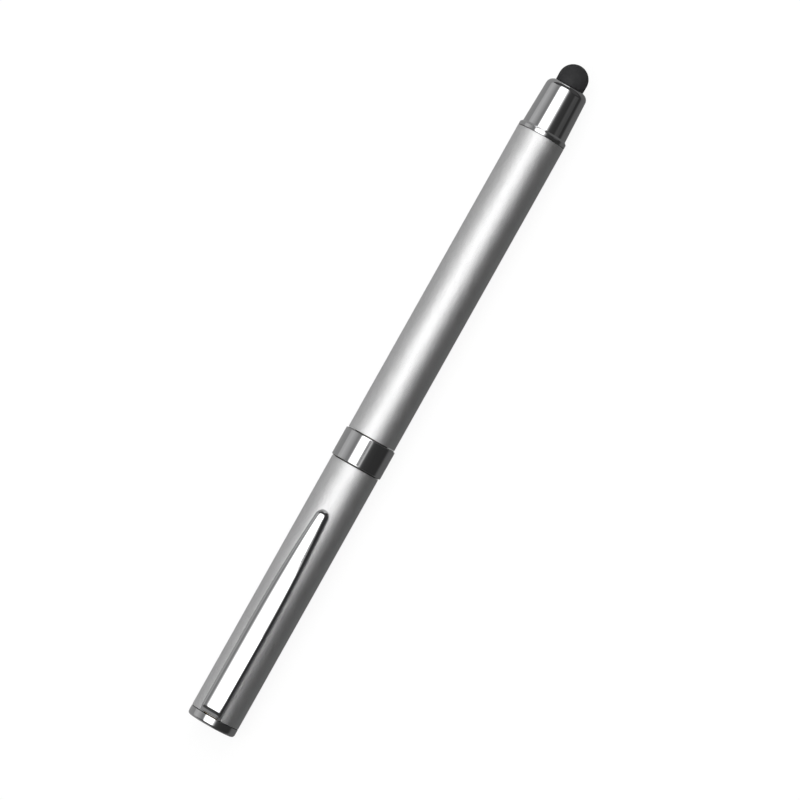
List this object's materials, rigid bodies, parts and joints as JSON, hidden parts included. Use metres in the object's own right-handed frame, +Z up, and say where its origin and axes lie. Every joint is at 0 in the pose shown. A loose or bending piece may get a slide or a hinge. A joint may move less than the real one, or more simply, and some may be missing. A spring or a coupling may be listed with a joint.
{
  "type": "capped rollerball pen",
  "caption": "Slim capped rollerball pen with a satin metal barrel and cap, chrome trim, a sprung pocket clip and a rubber stylus dome on its tail.",
  "frame": {"origin": "on the ground below the middle of the pen's length, with the capped pen lying clip up", "axes": "+X along the pen from the flat end of the cap to the stylus dome, +Y across it, +Z up through the pocket clip"},
  "size_m": [0.14, 0.0102, 0.0121],
  "materials": {
    "satin_silver": "satin",
    "bright_chrome": "polished",
    "brass": "satin",
    "steel": "satin",
    "black_rubber": "matte",
    "black_plastic": "satin",
    "white_plastic": "satin",
    "milky_plastic": "satin",
    "inked_fibre": "matte"
  },
  "bodies": {
    "barrel": {"barrel_tube": "satin_silver", "barrel_bush": "brass", "stylus_collar": "bright_chrome", "stylus_tip": "black_rubber", "stylus_core": "black_plastic", "refill_spring": "steel"},
    "ring": {"section_ring": "bright_chrome"},
    "section": {"grip_section": "black_plastic", "nose_cone": "bright_chrome"},
    "cap": {"cap_tube": "satin_silver", "cap_liner": "white_plastic", "cap_band": "bright_chrome", "cap_finial": "bright_chrome", "clip_anchor": "brass"},
    "pocket_clip": {"clip": "bright_chrome"},
    "refill": {"refill_head": "black_plastic", "refill_tube": "milky_plastic", "refill_tip": "steel", "refill_tail_plug": "black_plastic", "ink_filler": "inked_fibre", "feed_rod": "inked_fibre"},
    "ball": {"refill_ball": "steel"}
  },
  "joints": [
    {"name": "section_travel", "type": "slide", "parent": "barrel", "child": "ring", "axis": [-1, 0, 0], "range_m": [0, 0.00602]},
    {"name": "section_turn", "type": "hinge", "parent": "ring", "child": "section", "pos_m": [-0.00918, 0, 0.0051], "axis": [-1, 0, 0], "range_deg": [0, 1440]},
    {"name": "cap_pull", "type": "slide", "parent": "section", "child": "cap", "axis": [-1, 0, 0], "range_m": [0, 0.055]},
    {"name": "clip_flex", "type": "hinge", "parent": "cap", "child": "pocket_clip", "pos_m": [-0.06769, 0, 0.00925], "axis": [0, -1, 0], "range_deg": [0, 4], "stiffness_Nm_per_rad": 3.5},
    {"name": "refill_float", "type": "slide", "parent": "section", "child": "refill", "axis": [1, 0, 0], "range_m": [0, 0.001], "stiffness_N_per_m": 300, "springref_m": -0.002, "deforming": ["refill_spring"]},
    {"name": "ball_roll", "type": "hinge", "parent": "refill", "child": "ball", "pos_m": [-0.05771, 0, 0.0051], "axis": [0, 1, 0], "continuous": true}
  ],
  "couplings": [
    {"joint": "section_travel", "follows": "section_turn", "m_per_rad": 0.00023873}
  ]
}
